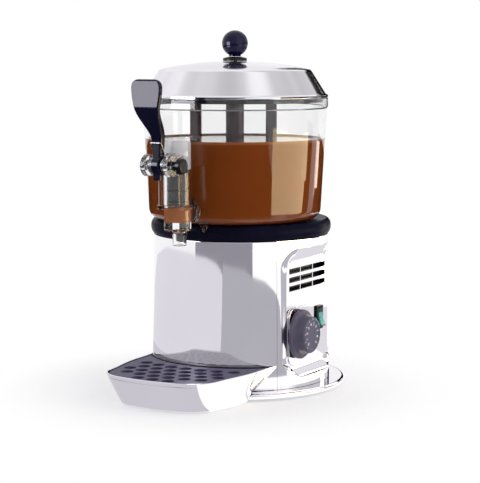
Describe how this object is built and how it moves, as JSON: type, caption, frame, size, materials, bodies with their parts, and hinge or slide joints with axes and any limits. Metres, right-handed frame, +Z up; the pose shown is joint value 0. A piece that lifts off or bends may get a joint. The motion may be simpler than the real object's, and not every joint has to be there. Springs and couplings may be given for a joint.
{
  "type": "hot drink dispenser",
  "caption": "Chrome column hot drink dispenser with a heated clear bowl, turning mixer, lift-off lid, lever tap with piston, dial and switch, and a drip tray with a perforated grid.",
  "frame": {"origin": "table level, in the middle of the footprint", "axes": "+Z up; the tap and the drip tray face -Y; the control panel faces +X"},
  "size_m": [0.242, 0.325, 0.4092],
  "materials": {
    "chrome": "mirror bright plating",
    "steel": "plain steel",
    "aluminium": "cast, machined top",
    "brass": "turned",
    "navy_plastic": "dark navy, glossy",
    "black_plastic": "black, satin gloss",
    "grey_plastic": "charcoal grey, satin",
    "teal_plastic": "blue green, glossy",
    "cream_plastic": "moulded",
    "clear_plastic": "clear moulded polycarbonate",
    "hot_chocolate": null,
    "rubber": "moulded, matte"
  },
  "bodies": {
    "base": {"base_plate": "chrome", "foot_front_left": "rubber", "foot_front_right": "rubber", "foot_rear_left": "rubber", "foot_rear_right": "rubber", "front_cover": "chrome", "rear_housing": "chrome", "control_panel": "chrome", "control_plate": "chrome", "switch_frame": "grey_plastic", "collar": "navy_plastic", "hot_plate": "aluminium", "bowl_gasket": "rubber", "heating_element": "steel", "safety_thermostat": "cream_plastic", "gearbox": "aluminium", "motor": "steel", "motor_bracket": "steel", "thermostat_body": "cream_plastic", "terminal_block": "cream_plastic", "cable_gland": "black_plastic", "shaft_bush": "brass"},
    "drive_shaft": {"drive_shaft": "steel"},
    "bowl": {"bowl": "clear_plastic", "tap_body": "clear_plastic", "tap_gasket": "rubber", "pivot_pin": "black_plastic", "pin_clip": "steel"},
    "mixer": {"mixer": "grey_plastic", "hot_chocolate": "hot_chocolate"},
    "lid": {"lid": "chrome", "lid_knob": "navy_plastic", "lid_knob_base": "black_plastic", "lid_stud": "steel"},
    "lever": {"tap_lever": "navy_plastic", "lever_spring": "steel"},
    "piston": {"tap_piston": "clear_plastic", "piston_oring_low": "rubber", "piston_oring_high": "rubber", "piston_seal": "rubber"},
    "dial": {"thermostat_knob": "grey_plastic", "thermostat_spindle": "brass"},
    "rocker": {"switch_rocker": "teal_plastic"},
    "tray": {"drip_tray": "chrome"},
    "grid": {"drip_grid": "navy_plastic"}
  },
  "joints": [
    {"name": "bowl_lift", "type": "slide", "parent": "base", "child": "bowl", "axis": [0, 0, 1], "range_m": [0, 0.15]},
    {"name": "lid_lift", "type": "slide", "parent": "bowl", "child": "lid", "axis": [0, 0, 1], "range_m": [0, 0.12]},
    {"name": "mixer_spin", "type": "hinge", "parent": "bowl", "child": "mixer", "pos_m": [0, 0.0275, 0.25], "axis": [0, 0, 1], "continuous": true},
    {"name": "shaft_spin", "type": "hinge", "parent": "base", "child": "drive_shaft", "pos_m": [0, 0.0275, 0.25], "axis": [0, 0, 1], "continuous": true},
    {"name": "lever_pull", "type": "hinge", "parent": "bowl", "child": "lever", "pos_m": [0, -0.1325, 0.264], "axis": [1, 0, 0], "range_deg": [0, 30], "stiffness_Nm_per_rad": 0.6, "springref_deg": -14.32, "deforming": ["lever_spring"]},
    {"name": "piston_lift", "type": "slide", "parent": "bowl", "child": "piston", "axis": [0, 0, 1], "range_m": [0, 0.0188]},
    {"name": "dial_turn", "type": "hinge", "parent": "base", "child": "dial", "pos_m": [0.1, 0.016, 0.068], "axis": [-1, 0, 0], "range_deg": [0, 270]},
    {"name": "rocker_press", "type": "hinge", "parent": "base", "child": "rocker", "pos_m": [0.0909, 0.066, 0.08], "axis": [0, 1, 0], "range_deg": [0, 22]},
    {"name": "tray_slide", "type": "slide", "parent": "base", "child": "tray", "axis": [0, -1, 0], "range_m": [0, 0.12]},
    {"name": "grid_lift", "type": "slide", "parent": "tray", "child": "grid", "axis": [0, 0, 1], "range_m": [0, 0.06]}
  ],
  "couplings": [
    {"joint": "shaft_spin", "follows": "mixer_spin", "ratio": 1},
    {"joint": "piston_lift", "follows": "lever_pull", "m_per_rad": 0.03559}
  ]
}
